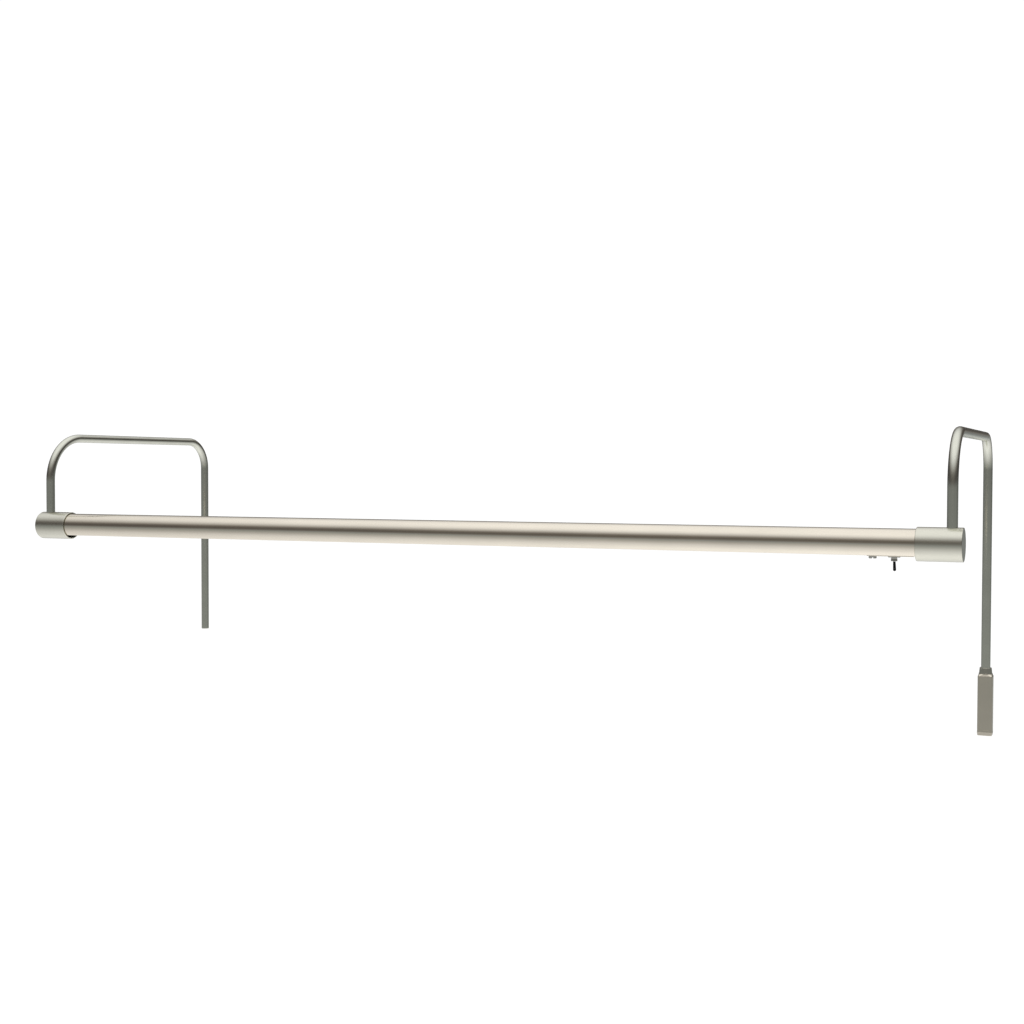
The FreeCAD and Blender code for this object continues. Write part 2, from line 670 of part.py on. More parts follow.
def main():
    os.makedirs("parts", exist_ok=True)
    pairs = {
        "cap": end_cap(), "arm_grub": arm_grub(), "swivel_stud": stud(),
        "swivel_nut": stud_nut(), "wave_washer": wave_washer(), "end_plug": end_plug(),
        "swivel_bush": bush(), "plug_screws": plug_screws(),
    }
    for name, shape in pairs.items():
        save(name + "_right", shape)
        save(name + "_left", mirrored(shape))
    singles = {
        "arm_left": arm(-ARM_X, LEG_END_Z),
        "arm_right": arm(ARM_X, LEG_END_Z - RIGHT_LEG_EXTRA),
        "leg_plug": leg_plug(), "lamp_tube": lamp_tube(), "diffuser": diffuser(),
        "led_carrier": led_carrier(), "led_board": led_board(), "led_chips": led_chips(),
        "control_plate": control_plate(), "plate_screw": plate_screw(),
        "plate_nut_bar": plate_nut_bar(), "switch_body": switch_body(),
        "switch_bushing": switch_bushing(), "switch_terminals": switch_terminals(),
        "switch_washer": switch_washer(), "switch_nut": switch_nut(),
        "switch_lever": switch_lever(), "lever_pin": lever_pin(), "inlet_collar": inlet_collar(),
        "inlet_housing": inlet_housing(), "inlet_grub": inlet_grub(),
        "inlet_foot": inlet_foot(), "foot_screws": foot_screws(), "dc_socket": dc_socket(),
        "dc_contacts": dc_contacts(), "arm_leads": arm_leads(), "lamp_leads": lamp_leads(),
    }
    for name, shape in singles.items():
        save(name, shape)


main()
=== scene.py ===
import json
import math
import bmesh
import bpy
from mathutils import Matrix, Vector


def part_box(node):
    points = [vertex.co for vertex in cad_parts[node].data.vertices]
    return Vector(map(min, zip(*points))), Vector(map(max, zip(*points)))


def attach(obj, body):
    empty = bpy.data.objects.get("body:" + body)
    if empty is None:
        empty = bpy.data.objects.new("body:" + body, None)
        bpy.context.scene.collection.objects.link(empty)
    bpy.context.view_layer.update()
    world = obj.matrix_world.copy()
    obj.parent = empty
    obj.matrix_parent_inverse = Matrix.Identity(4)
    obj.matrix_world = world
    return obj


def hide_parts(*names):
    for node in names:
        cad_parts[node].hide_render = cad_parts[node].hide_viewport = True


# The looks of a tubular light bar that hangs between two bent arms. Metres, in the row's frame:
# +X along the bar, +Y from the lamp back to the legs, +Z up.

MM = 0.001
OVER = 1 * MM  # how far a cutter reaches past what it cuts
ALONG, REARWARD, UP = (1, 0, 0), (0, 1, 0), (0, 0, 1)
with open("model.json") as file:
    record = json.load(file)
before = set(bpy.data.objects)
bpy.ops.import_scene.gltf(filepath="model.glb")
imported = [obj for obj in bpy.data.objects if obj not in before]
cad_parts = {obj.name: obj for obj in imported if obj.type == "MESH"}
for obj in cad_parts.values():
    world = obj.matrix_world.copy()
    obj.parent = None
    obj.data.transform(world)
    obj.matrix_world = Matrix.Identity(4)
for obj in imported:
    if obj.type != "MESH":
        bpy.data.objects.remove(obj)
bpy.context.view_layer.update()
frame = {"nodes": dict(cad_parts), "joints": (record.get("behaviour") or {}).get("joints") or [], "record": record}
joints = {j["name"]: j for j in frame["joints"]}


# ---------------------------------------------------------------- places read from the frame
def middle(node):
    low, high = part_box(node)
    return (low + high) / 2


def underside(node):
    """The middle of a node's lowest face."""
    at = middle(node)
    return Vector((at.x, at.y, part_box(node)[0].z))


tube_low, tube_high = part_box("lamp_tube")
TUBE_R = (tube_high.y - tube_low.y) / 2
BAR = Vector(((tube_low.x + tube_high.x) / 2, (tube_low.y + tube_high.y) / 2, tube_high.z - TUBE_R))
ARM_R = (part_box("arm_left")[1].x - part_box("arm_left")[0].x) / 2


# ---------------------------------------------------------------- mesh building
def soften(points, steps=5, closed=False):
    """A 2-D outline from (a, b, fillet radius) corners, with each corner turned into an arc."""
    count = len(points)
    out = []
    for i, (a, b, radius) in enumerate(points):
        here = Vector((a, b))
        if radius == 0 or (not closed and i in (0, count - 1)):
            out.append((a, b))
            continue
        before = Vector(points[i - 1][:2])
        after = Vector(points[(i + 1) % count][:2])
        back, ahead = (before - here).normalized(), (after - here).normalized()
        half = back.angle(ahead) / 2
        reach = radius / math.tan(half)
        centre = here + (back + ahead).normalized() * (radius / math.sin(half))
        start, end = here + back * reach - centre, here + ahead * reach - centre
        turn = start.angle_signed(end)
        for k in range(steps + 1):
            share = -turn * k / steps
            c, s = math.cos(share), math.sin(share)
            out.append((centre.x + start.x * c - start.y * s, centre.y + start.x * s + start.y * c))
    return out


def brace(rows, closed=False, near=0.12 * MM):
    """Add rows close to both ends of every long span, so that soft edges do not tint the flat between."""
    out = []
    pairs = list(zip(rows, rows[1:] + rows[:1])) if closed else list(zip(rows, rows[1:]))
    for a, b in pairs:
        out.append(tuple(a))
        span = math.dist(a[:2], b[:2])
        if span > 5 * near:
            for share in (near / span, 1 - near / span):
                out.append(tuple(p + (q - p) * share for p, q in zip(a, b)))
    return out if closed else out + [tuple(rows[-1])]


def loft(loops, ring=False):
    """Vertices and faces through loops of equal length; ring joins the last loop to the first."""
    size = len(loops[0])
    verts = [tuple(p) for loop in loops for p in loop]
    faces = []
    spans = len(loops) if ring else len(loops) - 1
    for i in range(spans):
        a, b = i * size, ((i + 1) % len(loops)) * size
        for k in range(size):
            n = (k + 1) % size
            faces.append((a + k, a + n, b + n, b + k))
    if not ring:
        faces.append(tuple(reversed(range(size))))
        faces.append(tuple(range(len(verts) - size, len(verts))))
    return verts, faces


def axes_for(along):
    """Two unit vectors square to a direction, and to each other."""
    along = Vector(along).normalized()
    side = along.orthogonal().normalized()
    return along, side, along.cross(side)


def lathe(profile, origin, along, segments=96, ring=False, shape=None):
    """Turn a profile of (distance along, radius) round an axis; shape(angle, radius) scales the radius."""
    along, side, up = axes_for(along)
    loops = []
    for s, r in brace(profile, ring):
        loop = []
        for k in range(segments):
            angle = 2 * math.pi * k / segments
            radius = r * (shape(angle, r) if shape else 1)
            loop.append(origin + along * s + (side * math.cos(angle) + up * math.sin(angle)) * radius)
        loops.append(loop)
    return loft(loops, ring)


def rounded_loop(half_x, half_y, radius, z, centre, steps):
    """A rectangular loop with round corners at height z."""
    ways = ((1, 1), (-1, 1), (-1, -1), (1, -1))
    corners = [(half_x * way_x, half_y * way_y, radius) for way_x, way_y in ways]
    return [Vector((centre.x + a, centre.y + b, z)) for a, b in soften(corners, steps, True)]


def rounded_square(half, radius, z, centre):
    return rounded_loop(half, half, radius, z, centre, 6)


def rounded_plate(low, high, radius, bevel, chamfer=0.0):
    """A plate with round corners in plan, softened edges and a chamfer along its underside."""
    centre = (low + high) / 2
    half_x, half_y = (high.x - low.x) / 2, (high.y - low.y) / 2
    soft = bevel * 0.4
    rows = [(low.z, chamfer + soft), (low.z + soft * 0.4, chamfer)]
    if chamfer:
        rows += [(low.z + chamfer, soft * 0.4)]
    rows += [(low.z + chamfer + soft, 0)]
    rows += [(high.z - bevel, 0), (high.z - bevel * 0.3, bevel * 0.3), (high.z, bevel)]
    sharpest = 0.01 * MM
    return loft([
        rounded_loop(half_x - inset, half_y - inset, max(radius - inset, sharpest), z, centre, 4)
        for z, inset in brace(rows)
    ])


def mesh_of(name, verts, faces):
    mesh = bpy.data.meshes.new(name)
    mesh.from_pydata([tuple(v) for v in verts], [], faces)
    mesh.validate()
    obj = bpy.data.objects.new(name, mesh)
    bpy.context.scene.collection.objects.link(obj)
    outward(obj)
    return obj


def outward(obj):
    """Turn every face's normal outwards."""
    work = bmesh.new()
    work.from_mesh(obj.data)
    bmesh.ops.recalc_face_normals(work, faces=work.faces)
    work.to_mesh(obj.data)
    work.free()


def cut(obj, *cutters):
    """Take the cutters' space away from a mesh, and delete them."""
    for cutter in cutters:
        step = obj.modifiers.new("cut", "BOOLEAN")
        step.operation, step.solver, step.object = "DIFFERENCE", "EXACT", cutter
        graph = bpy.context.evaluated_depsgraph_get()
        mesh = bpy.data.meshes.new_from_object(obj.evaluated_get(graph))
        obj.modifiers.clear()
        obj.data = mesh
        bpy.data.objects.remove(cutter)


def rod(origin, along, start, end, radius, segments=64):
    """A plain round cutter."""
    verts, faces = lathe([(start, radius), (end, radius)], origin, along, segments)
    return mesh_of("cutter", verts, faces)


def prism(outline, x_start, x_end):
    """A cutter along X from an outline of (y, z) points about the bar's axis."""
    loops = [[Vector((BAR.x + x, BAR.y + y, BAR.z + z)) for y, z in outline] for x in (x_start, x_end)]
    verts, faces = loft(loops)
    return mesh_of("cutter", verts, faces)


def finish_piece(obj, slot, body, stands_for, sharp=32):
    """Give the slot's material, smooth the shading and tie the piece to its body."""
    obj.data.materials.clear()
    obj.data.materials.append(materials[slot])
    obj.data.shade_smooth()
    obj.data.set_sharp_from_angle(angle=math.radians(sharp))
    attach(obj, body)
    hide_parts(*stands_for)


# ---------------------------------------------------------------- materials
def new_material(name, colour, metallic, roughness):
    """A material with its shader, ready for its textures."""
    material = bpy.data.materials.new(name)
    material.use_nodes = True
    tree = material.node_tree
    shader = tree.nodes["Principled BSDF"]
    shader.inputs["Base Color"].default_value = (*colour, 1)
    shader.inputs["Metallic"].default_value = metallic
    shader.inputs["Roughness"].default_value = roughness
    return material, tree, shader


def noise(tree, vector, scale, detail, rough=0.55):
    node = tree.nodes.new("ShaderNodeTexNoise")
    node.inputs["Scale"].default_value = scale
    node.inputs["Detail"].default_value = detail
    node.inputs["Roughness"].default_value = rough
    tree.links.new(vector, node.inputs["Vector"])
    return node.outputs["Fac"]


def spread(tree, value, low, high):
    """Map a noise value, which mostly lies from 0.3 to 0.7, to low..high."""
    node = tree.nodes.new("ShaderNodeMapRange")
    node.inputs["From Min"].default_value = 0.3
    node.inputs["From Max"].default_value = 0.7
    node.inputs["To Min"].default_value = low
    node.inputs["To Max"].default_value = high
    tree.links.new(value, node.inputs["Value"])
    return node.outputs["Result"]


def tint(tree, value, dark, light):
    """A colour between two tints, by a noise value."""
    node = tree.nodes.new("ShaderNodeMix")
    node.data_type = "RGBA"
    node.inputs["A"].default_value = (*dark, 1)
    node.inputs["B"].default_value = (*light, 1)
    tree.links.new(value, node.inputs["Factor"])
    return node.outputs["Result"]


def bump(tree, shader, height, strength, distance):
    node = tree.nodes.new("ShaderNodeBump")
    node.inputs["Strength"].default_value = strength
    node.inputs["Distance"].default_value = distance
    tree.links.new(height, node.inputs["Height"])
    tree.links.new(node.outputs["Normal"], shader.inputs["Normal"])


def place_of(tree, centre=(0, 0, 0)):
    """Object coordinates about a centre."""
    coords = tree.nodes.new("ShaderNodeTexCoord")
    shift = tree.nodes.new("ShaderNodeVectorMath")
    shift.operation = "SUBTRACT"
    shift.inputs[1].default_value = tuple(centre)
    tree.links.new(coords.outputs["Object"], shift.inputs[0])
    return shift.outputs["Vector"]


def stretched(tree, vector, scale):
    node = tree.nodes.new("ShaderNodeVectorMath")
    node.operation = "MULTIPLY"
    node.inputs[1].default_value = scale
    tree.links.new(vector, node.inputs[0])
    return node.outputs["Vector"]


def turned(tree, vector):
    """(distance along X, distance from the axis): marks that run round a turned part."""
    split = tree.nodes.new("ShaderNodeSeparateXYZ")
    tree.links.new(vector, split.inputs[0])
    size = tree.nodes.new("ShaderNodeVectorMath")
    size.operation = "LENGTH"
    tree.links.new(stretched(tree, vector, (0, 1, 1)), size.inputs[0])
    both = tree.nodes.new("ShaderNodeCombineXYZ")
    tree.links.new(split.outputs["X"], both.inputs["X"])
    tree.links.new(size.outputs["Value"], both.inputs["Y"])
    return both.outputs["Vector"]


def satin_metal(name, colour, roughness, grain="fine", centre=(0, 0, 0)):
    """Plated or anodised metal with a fine grain, faint clouding and uneven gloss."""
    material, tree, shader = new_material(name, colour, 1.0, roughness)
    place = place_of(tree, centre)
    if grain == "long":
        lines = stretched(tree, place, (0.04, 1, 1))
    elif grain == "turned":
        lines = turned(tree, place)
    else:
        lines = place
    fine = noise(tree, lines, 2600, 3.0)
    cloud = noise(tree, stretched(tree, place, (0.35, 1, 1)), 42, 5.0)
    dark = tuple(c * 0.955 for c in colour)
    light = tuple(min(1, c * 1.03) for c in colour)
    tree.links.new(tint(tree, spread(tree, cloud, 0, 1), dark, light), shader.inputs["Base Color"])
    smear = noise(tree, place, 95, 6.0, 0.65)
    tree.links.new(spread(tree, smear, roughness - 0.02, roughness + 0.025), shader.inputs["Roughness"])
    bump(tree, shader, fine, 0.22, 0.012 * MM)
    return material


def plastic(name, colour, roughness, grain=1800, coat=0.0, specular=0.5):
    """Moulded plastic with a fine spark-eroded texture."""
    material, tree, shader = new_material(name, colour, 0, roughness)
    place = place_of(tree)
    cloud = noise(tree, place, 130, 4.0)
    dark = tuple(c * 0.88 for c in colour)
    light = tuple(min(1, c * 1.1 + 0.001) for c in colour)
    tree.links.new(tint(tree, spread(tree, cloud, 0, 1), dark, light), shader.inputs["Base Color"])
    tree.links.new(spread(tree, cloud, roughness - 0.05, roughness + 0.06), shader.inputs["Roughness"])
    shader.inputs["Coat Weight"].default_value = coat
    shader.inputs["Specular IOR Level"].default_value = specular
    bump(tree, shader, noise(tree, place, grain, 3.0), 0.3, 0.02 * MM)
    return material


def opal_plastic():
    """The frosted diffuser: milky, slightly translucent, with faint extrusion lines."""
    dark, light = (0.85, 0.85, 0.82), (0.90, 0.90, 0.885)
    material, tree, shader = new_material("opal", light, 0, 0.42)
    shader.inputs["Subsurface Weight"].default_value = 0.35
    shader.inputs["Subsurface Radius"].default_value = (1.0, 0.95, 0.85)
    shader.inputs["Subsurface Scale"].default_value = 3 * MM
    place = place_of(tree)
    cloud = noise(tree, stretched(tree, place, (0.2, 1, 1)), 60, 4.0)
    tree.links.new(tint(tree, spread(tree, cloud, 0, 1), dark, light), shader.inputs["Base Color"])
    lines = noise(tree, stretched(tree, place, (0.02, 1, 1)), 2200, 3.0)
    bump(tree, shader, lines, 0.25, 0.02 * MM)
    return material


NICKEL = (0.705, 0.695, 0.61)
CHAMPAGNE = (0.79, 0.732, 0.632)
materials = {
    "cap_nickel": satin_metal("cap_nickel", NICKEL, 0.25, "turned", BAR),
    "arm_nickel": satin_metal("arm_nickel", (0.684, 0.689, 0.611), 0.20),
    "housing_nickel": satin_metal("housing_nickel", (0.76, 0.71, 0.605), 0.30),
    "tube_champagne": satin_metal("tube_champagne", CHAMPAGNE, 0.15, "long", BAR),
    "plate_champagne": satin_metal("plate_champagne", CHAMPAGNE, 0.26, "long", BAR),
    "raw_aluminium": satin_metal("raw_aluminium", (0.78, 0.78, 0.79), 0.38, "long", BAR),
    "zinc_steel": satin_metal("zinc_steel", (0.66, 0.65, 0.62), 0.22),
    "black_steel": satin_metal("black_steel", (0.05, 0.05, 0.052), 0.36),
    "tinned_brass": satin_metal("tinned_brass", (0.80, 0.77, 0.70), 0.28),
    "black_plastic": plastic("black_plastic", (0.003, 0.003, 0.0035), 0.42, specular=0.12),
    "nylon": plastic("nylon", (0.80, 0.78, 0.70), 0.45),
    "lead_jacket": plastic("lead_jacket", (0.62, 0.62, 0.60), 0.5, 900),
    "board_white": plastic("board_white", (0.80, 0.80, 0.77), 0.4),
    "led_yellow": plastic("led_yellow", (0.86, 0.66, 0.20), 0.25, 2600, coat=0.4),
    "opal": opal_plastic(),
}
slot_of = {row["node"]: row["material_slot"] for row in frame["record"]["subparts"]}
for node, piece in frame["nodes"].items():
    piece.data.materials.clear()
    piece.data.materials.append(materials[slot_of[node]])


# ---------------------------------------------------------------- the lamp
BORE_R, END_BORE = 12.7 * MM, 12 * MM
LIP_Y, LIP_Z, LEDGE_Z = 7.0 * MM, -11.25 * MM, -10.0 * MM
RAIL_Y, RAIL_T = 10.6 * MM, 1.0 * MM
PLUG_SCREW_HOLE_R, PLATE_SCREW_HOLE_R, BUSHING_HOLE_R = 2.6 * MM, 2.1 * MM, 3.15 * MM


def inner_radius(angle):
    """The tube's inside, with its two rails and the ledges at its lips."""
    y, z = math.cos(angle), math.sin(angle)
    radius = BORE_R
    if 0 <= z * BORE_R <= RAIL_T:
        radius = min(radius, RAIL_Y / abs(y))
    if z * BORE_R < LEDGE_Z and abs(y) * BORE_R > LIP_Y * 0.9:
        radius = min(radius, LEDGE_Z / z)
    return radius


def lamp_tube():
    """The slotted tube: a ring section along its length, then the slot cut with soft lips."""
    segments = 240
    half = (tube_high.x - tube_low.x) / 2
    edge = 0.25 * MM
    turns = [2 * math.pi * k / segments for k in range(segments)]

    def section(x, radius):
        return [BAR + Vector((x, radius(t) * math.cos(t), radius(t) * math.sin(t))) for t in turns]

    loops = [
        section(-half, lambda t: TUBE_R - edge), section(-half + edge, lambda t: TUBE_R),
        section(half - edge, lambda t: TUBE_R), section(half, lambda t: TUBE_R - edge),
        section(half, lambda t: BORE_R), section(half - END_BORE, lambda t: BORE_R),
        section(half - END_BORE, inner_radius), section(-half + END_BORE, inner_radius),
        section(-half + END_BORE, lambda t: BORE_R), section(-half, lambda t: BORE_R),
    ]
    verts, faces = loft(loops, ring=True)
    tube = mesh_of("lamp_tube_shell", verts, faces)
    wide, below, inside = 11 * MM, -20 * MM, -8 * MM
    flank_z, lip_end, soft = -10.33 * MM, 8.35 * MM, 0.35 * MM
    slot_side = [
        (wide, below), (wide, flank_z), (lip_end, LIP_Z), (LIP_Y + soft, LIP_Z), (LIP_Y, LIP_Z + soft),
        (LIP_Y, inside),
    ]
    outline = slot_side + [(-y, z) for y, z in reversed(slot_side)]
    past = 5 * MM
    cut(tube, prism(outline, -half - past, half + past))
    screw_x = middle("plug_screws_right").x - BAR.x
    for x in (screw_x, -screw_x):
        for way in (1, -1):
            origin = BAR + Vector((x, 0, 0))
            cut(tube, rod(origin, (0, way, 0), BORE_R - OVER, TUBE_R + OVER, PLUG_SCREW_HOLE_R, 40))
    finish_piece(tube, "tube_champagne", "lamp", ["lamp_tube"])


def diffuser():
    """The opal strip, with a shallow crown between the lips."""
    low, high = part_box("diffuser")
    half = (high.y - low.y) / 2
    inset, gap, crown = 0.75 * MM, 0.15 * MM, 0.18 * MM
    flange_z = high.z - 1.05 * MM
    side = [
        (half, high.z), (half, flange_z), (half - inset, flange_z), (half - inset, low.z + crown * 2),
    ]
    steps, arc = 14, []
    for k in range(steps + 1):
        y = (half - inset - gap) * (1 - 2 * k / steps)
        arc.append((y, low.z + crown * (y / half) ** 2))
    outline = side + arc + [(-y, z) for y, z in reversed(side)]
    centre_y = middle("diffuser").y
    verts, faces = loft([[Vector((x, centre_y + y, z)) for y, z in outline] for x in (low.x, high.x)])
    finish_piece(mesh_of("opal_strip", verts, faces), "opal", "lamp", ["diffuser"])


def control_plate():
    """The switch end's plate, chamfered below, with a hole for its screw and one for the switch."""
    low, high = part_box("control_plate")
    corner, bevel, chamfer = 1.6 * MM, 0.08 * MM, 0.3 * MM
    verts, faces = rounded_plate(low, high, corner, bevel, chamfer)
    plate = mesh_of("switch_plate", verts, faces)
    for node, radius in (("plate_screw", PLATE_SCREW_HOLE_R), ("switch_bushing", BUSHING_HOLE_R)):
        at = middle(node)
        cut(plate, rod(Vector((at.x, at.y, low.z)), UP, -OVER, high.z - low.z + OVER, radius, 48))
    finish_piece(plate, "plate_champagne", "lamp", ["control_plate"])


def thread(start, end, radius, pitch):
    """The crests and roots of a thread, seen in profile."""
    depth = pitch * 0.42
    count = max(1, int((end - start) / pitch))
    rows = []
    for k in range(count):
        at = start + k * pitch
        rows += [
            (at, radius - depth), (at + pitch * 0.4, radius),
            (at + pitch * 0.6, radius), (at + pitch, radius - depth),
        ]
    return rows


def plate_screw():
    """A slotted pan head on a threaded shank."""
    low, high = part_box("plate_screw")
    base, length = underside("plate_screw"), high.z - low.z
    head_r, head_h = (high.y - low.y) / 2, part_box("control_plate")[0].z - low.z
    shank_r, pitch = 1.95 * MM, 0.7 * MM
    profile = soften([
        (0, head_r * 0.4, 0), (0, head_r, 0.95 * MM), (head_h, head_r, 0.12 * MM), (head_h, shank_r, 0),
    ], 7)
    profile += thread(head_h + 0.3 * MM, length - 0.4 * MM, shank_r, pitch)
    profile.append((length, shank_r - 0.5 * MM))
    verts, faces = lathe(profile, base, UP, 72)
    screw = mesh_of("slotted_screw", verts, faces)
    half_width, past_rim, depth = 0.6 * MM, 6 * MM, 1.3 * MM
    slot_corner = Vector((half_width, past_rim, depth))
    verts, faces = rounded_plate(-slot_corner, slot_corner, 0.1 * MM, 0.05 * MM)
    turn = Matrix.Rotation(math.radians(9.5), 3, "Z")
    cut(screw, mesh_of("cutter", [base + turn @ Vector(v) for v in verts], faces))
    finish_piece(screw, "zinc_steel", "lamp", ["plate_screw"])


# ---------------------------------------------------------------- the toggle switch
def switch_washer():
    """The lock washer, a plain ring between the plate and the nut."""
    low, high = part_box("switch_washer")
    outer, inner, height = (high.y - low.y) / 2, BUSHING_HOLE_R, high.z - low.z
    soft = 0.1 * MM
    corners = [(0, inner, soft), (0, outer, soft), (height, outer, soft), (height, inner, soft)]
    verts, faces = lathe(soften(corners, 3, True), underside("switch_washer"), UP, 72, True)
    finish_piece(mesh_of("lock_washer", verts, faces), "zinc_steel", "lamp", ["switch_washer"])


def switch_nut():
    """The thin dress nut, with grip flutes round its rim."""
    low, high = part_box("switch_nut")
    outer, inner, height = (high.y - low.y) / 2, 3.14 * MM, high.z - low.z
    count, depth = 18, 0.06

    def flutes(angle, radius):
        if radius < inner * 1.05:
            return 1.0
        return 1 - depth * max(0.0, math.cos(count * angle)) ** 2

    soft = 0.1 * MM
    corners = [(0, inner, soft), (0, outer, soft * 1.5), (height, outer, soft), (height, inner, soft)]
    verts, faces = lathe(soften(corners, 4, True), underside("switch_nut"), UP, 288, True, flutes)
    finish_piece(mesh_of("dress_nut", verts, faces), "zinc_steel", "lamp", ["switch_nut"])


def switch_bushing():
    """The threaded sleeve, with a relief in its thread under the nut and the lever's pin through it."""
    low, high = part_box("switch_bushing")
    outer, length = (high.y - low.y) / 2, high.z - low.z
    bore, mouth = 2.35 * MM, 2.75 * MM
    pitch, relief = 0.635 * MM, outer - 0.5 * MM
    under_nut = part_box("switch_nut")[0].z - low.z
    profile = [(1.2 * MM, bore), (0.08 * MM, mouth - 0.02 * MM), (0, mouth + 0.05 * MM)]
    profile += thread(0.02 * MM, under_nut - 0.5 * MM, outer, pitch)
    profile += [(under_nut - 0.45 * MM, relief), (under_nut + 0.1 * MM, relief)]
    profile += thread(under_nut + 0.15 * MM, length - 0.3 * MM, outer, pitch)
    profile += [(length, outer - 0.3 * MM), (length, bore)]
    verts, faces = lathe(profile, underside("switch_bushing"), UP, 96, True)
    sleeve = mesh_of("threaded_bushing", verts, faces)
    pin_hole_r, reach = 0.47 * MM, outer + OVER
    cut(sleeve, rod(middle("lever_pin"), ALONG, -reach, reach, pin_hole_r, 24))
    finish_piece(sleeve, "zinc_steel", "lamp", ["switch_bushing"])


def switch_lever():
    """The bat-shaped lever, at the end of its throw where it is stored."""
    joint = joints["switch_throw"]
    pivot = Vector(joint["pos_m"])
    tilt = math.radians(joint["range_deg"][1] - joint["range_deg"][0]) / 2
    down = Vector((0, math.sin(tilt), -math.cos(tilt)))
    ball, tip = 1.75 * MM, 1.42 * MM
    bend = (pivot.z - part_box("switch_lever")[0].z - tip) / math.cos(tilt)
    profile = [(-1.9 * MM, 0.75 * MM), (-1.75 * MM, 0.9 * MM)]
    for degrees in range(-50, 55, 15):
        angle = math.radians(degrees)
        profile.append((ball * math.sin(angle), ball * math.cos(angle)))
    profile += [(1.9 * MM, 1.1 * MM), (3.2 * MM, 1.14 * MM), (7.0 * MM, 1.27 * MM), (10.5 * MM, 1.38 * MM)]
    steps, short_of_pole = 8, 0.6
    for k in range(steps + 1):
        angle = math.pi / 2 * k / (steps + short_of_pole)
        profile.append((bend + tip * math.sin(angle), tip * math.cos(angle)))
    verts, faces = lathe(profile, pivot, down, 48)
    lever = mesh_of("toggle_lever", verts, faces)
    pin_hole_r, reach = 0.49 * MM, ball + OVER
    cut(lever, rod(pivot, ALONG, -reach, reach, pin_hole_r, 24))
    finish_piece(lever, "black_plastic", "lever", ["switch_lever"], 50)


# ---------------------------------------------------------------- caps and arms
FRONT_BEND, REAR_BEND = 52 * MM, 36 * MM


def end_cap(side, way):
    """The turned cup: a thin wall towards the lamp, solid where the arm goes in."""
    node = "cap_" + side
    low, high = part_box(node)
    radius, length = (high.y - low.y) / 2, high.x - low.x
    face = high.x if way > 0 else low.x
    bore, web = radius - 1.4 * MM, 21.0 * MM
    hub, hub_floor, core = 5.05 * MM, web - 5 * MM, 0.5 * MM
    profile = soften([
        (hub_floor, core, 0), (hub_floor, hub, 0), (web, hub, 0.15 * MM), (web, bore, 0.4 * MM),
        (length, bore, 0.25 * MM), (length, radius, 0.8 * MM), (0, radius, 0.45 * MM), (0, core, 0),
    ], 6)
    verts, faces = lathe(profile, Vector((face, BAR.y, BAR.z)), (-way, 0, 0), 160)
    cap = mesh_of("cup_" + side, verts, faces)
    socket_depth, socket_r, grub_hole_r = 6.2 * MM, ARM_R + 0.12 * MM, 2.1 * MM
    foot = Vector((middle("arm_" + side).x, BAR.y, BAR.z - socket_depth))
    cut(cap, rod(foot, UP, 0, socket_depth + radius + OVER, socket_r, 72))
    grub = middle("arm_grub_" + side)
    cut(cap, rod(Vector((grub.x, BAR.y, grub.z)), REARWARD, 2 * MM, radius + OVER, grub_hole_r, 40))
    finish_piece(cap, "cap_nickel", side + "_hanger", [node], 28)


def arm_line(front_y, rear_y, top_z, start_z, end_z):
    """Points and tangents along the arm's centre line in the Y-Z plane."""
    near, steps = 1.5 * MM, 40
    front_top, rear_top = top_z - FRONT_BEND, top_z - REAR_BEND
    rows = [(front_y, z, 0.0, 1.0) for z in (start_z, front_top - near, front_top)]
    for k in range(1, steps + 1):
        a = math.pi / 2 * k / steps
        y, z = front_y + FRONT_BEND * (1 - math.cos(a)), front_top + FRONT_BEND * math.sin(a)
        rows.append((y, z, math.sin(a), math.cos(a)))
    rows += [(y, top_z, 1.0, 0.0) for y in (front_y + FRONT_BEND + near, rear_y - REAR_BEND - near)]
    for k in range(steps + 1):
        a = math.pi / 2 * k / steps
        y, z = rear_y - REAR_BEND * (1 - math.sin(a)), rear_top + REAR_BEND * math.cos(a)
        rows.append((y, z, math.cos(a), -math.sin(a)))
    return rows + [(rear_y, z, 0.0, -1.0) for z in (rear_top - near, end_z + near, end_z)]


def arm(side):
    """The bent tube, open at its leg's end with a softened rim."""
    node = "arm_" + side
    low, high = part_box(node)
    x = middle(node).x
    start_z = BAR.z - 6 * MM
    rows = arm_line(low.y + ARM_R, high.y - ARM_R, high.z - ARM_R, start_z, low.z)
    inner, soft, lip = ARM_R - 1.0 * MM, 0.3 * MM, 0.1 * MM
    segments, rim_steps = 72, 4
    turns = [2 * math.pi * k / segments for k in range(segments)]

    def ring(row, radius, back=0.0):
        y, z, ty, tz = row
        centre = Vector((x, y - ty * back, z - tz * back))
        out, across = Vector(ALONG) * radius, Vector((0, -tz, ty)) * radius
        return [centre + out * math.cos(t) + across * math.sin(t) for t in turns]

    last = rows[-1]
    loops = [ring(rows[0], inner)] + [ring(row, ARM_R) for row in rows[:-1]]
    for k in range(rim_steps + 1):
        a = math.pi / 2 * k / rim_steps
        loops.append(ring(last, ARM_R - soft * (1 - math.cos(a)), soft * (1 - math.sin(a))))
    loops += [ring(last, inner + lip), ring(last, inner, lip)]
    loops += [ring(row, inner) for row in reversed(rows[1:-1])]
    verts, faces = loft(loops, ring=True)
    finish_piece(mesh_of("bent_tube_" + side, verts, faces), "arm_nickel", side + "_hanger", [node], 40)


# ---------------------------------------------------------------- the inlet housing
SLIP = 0.05 * MM


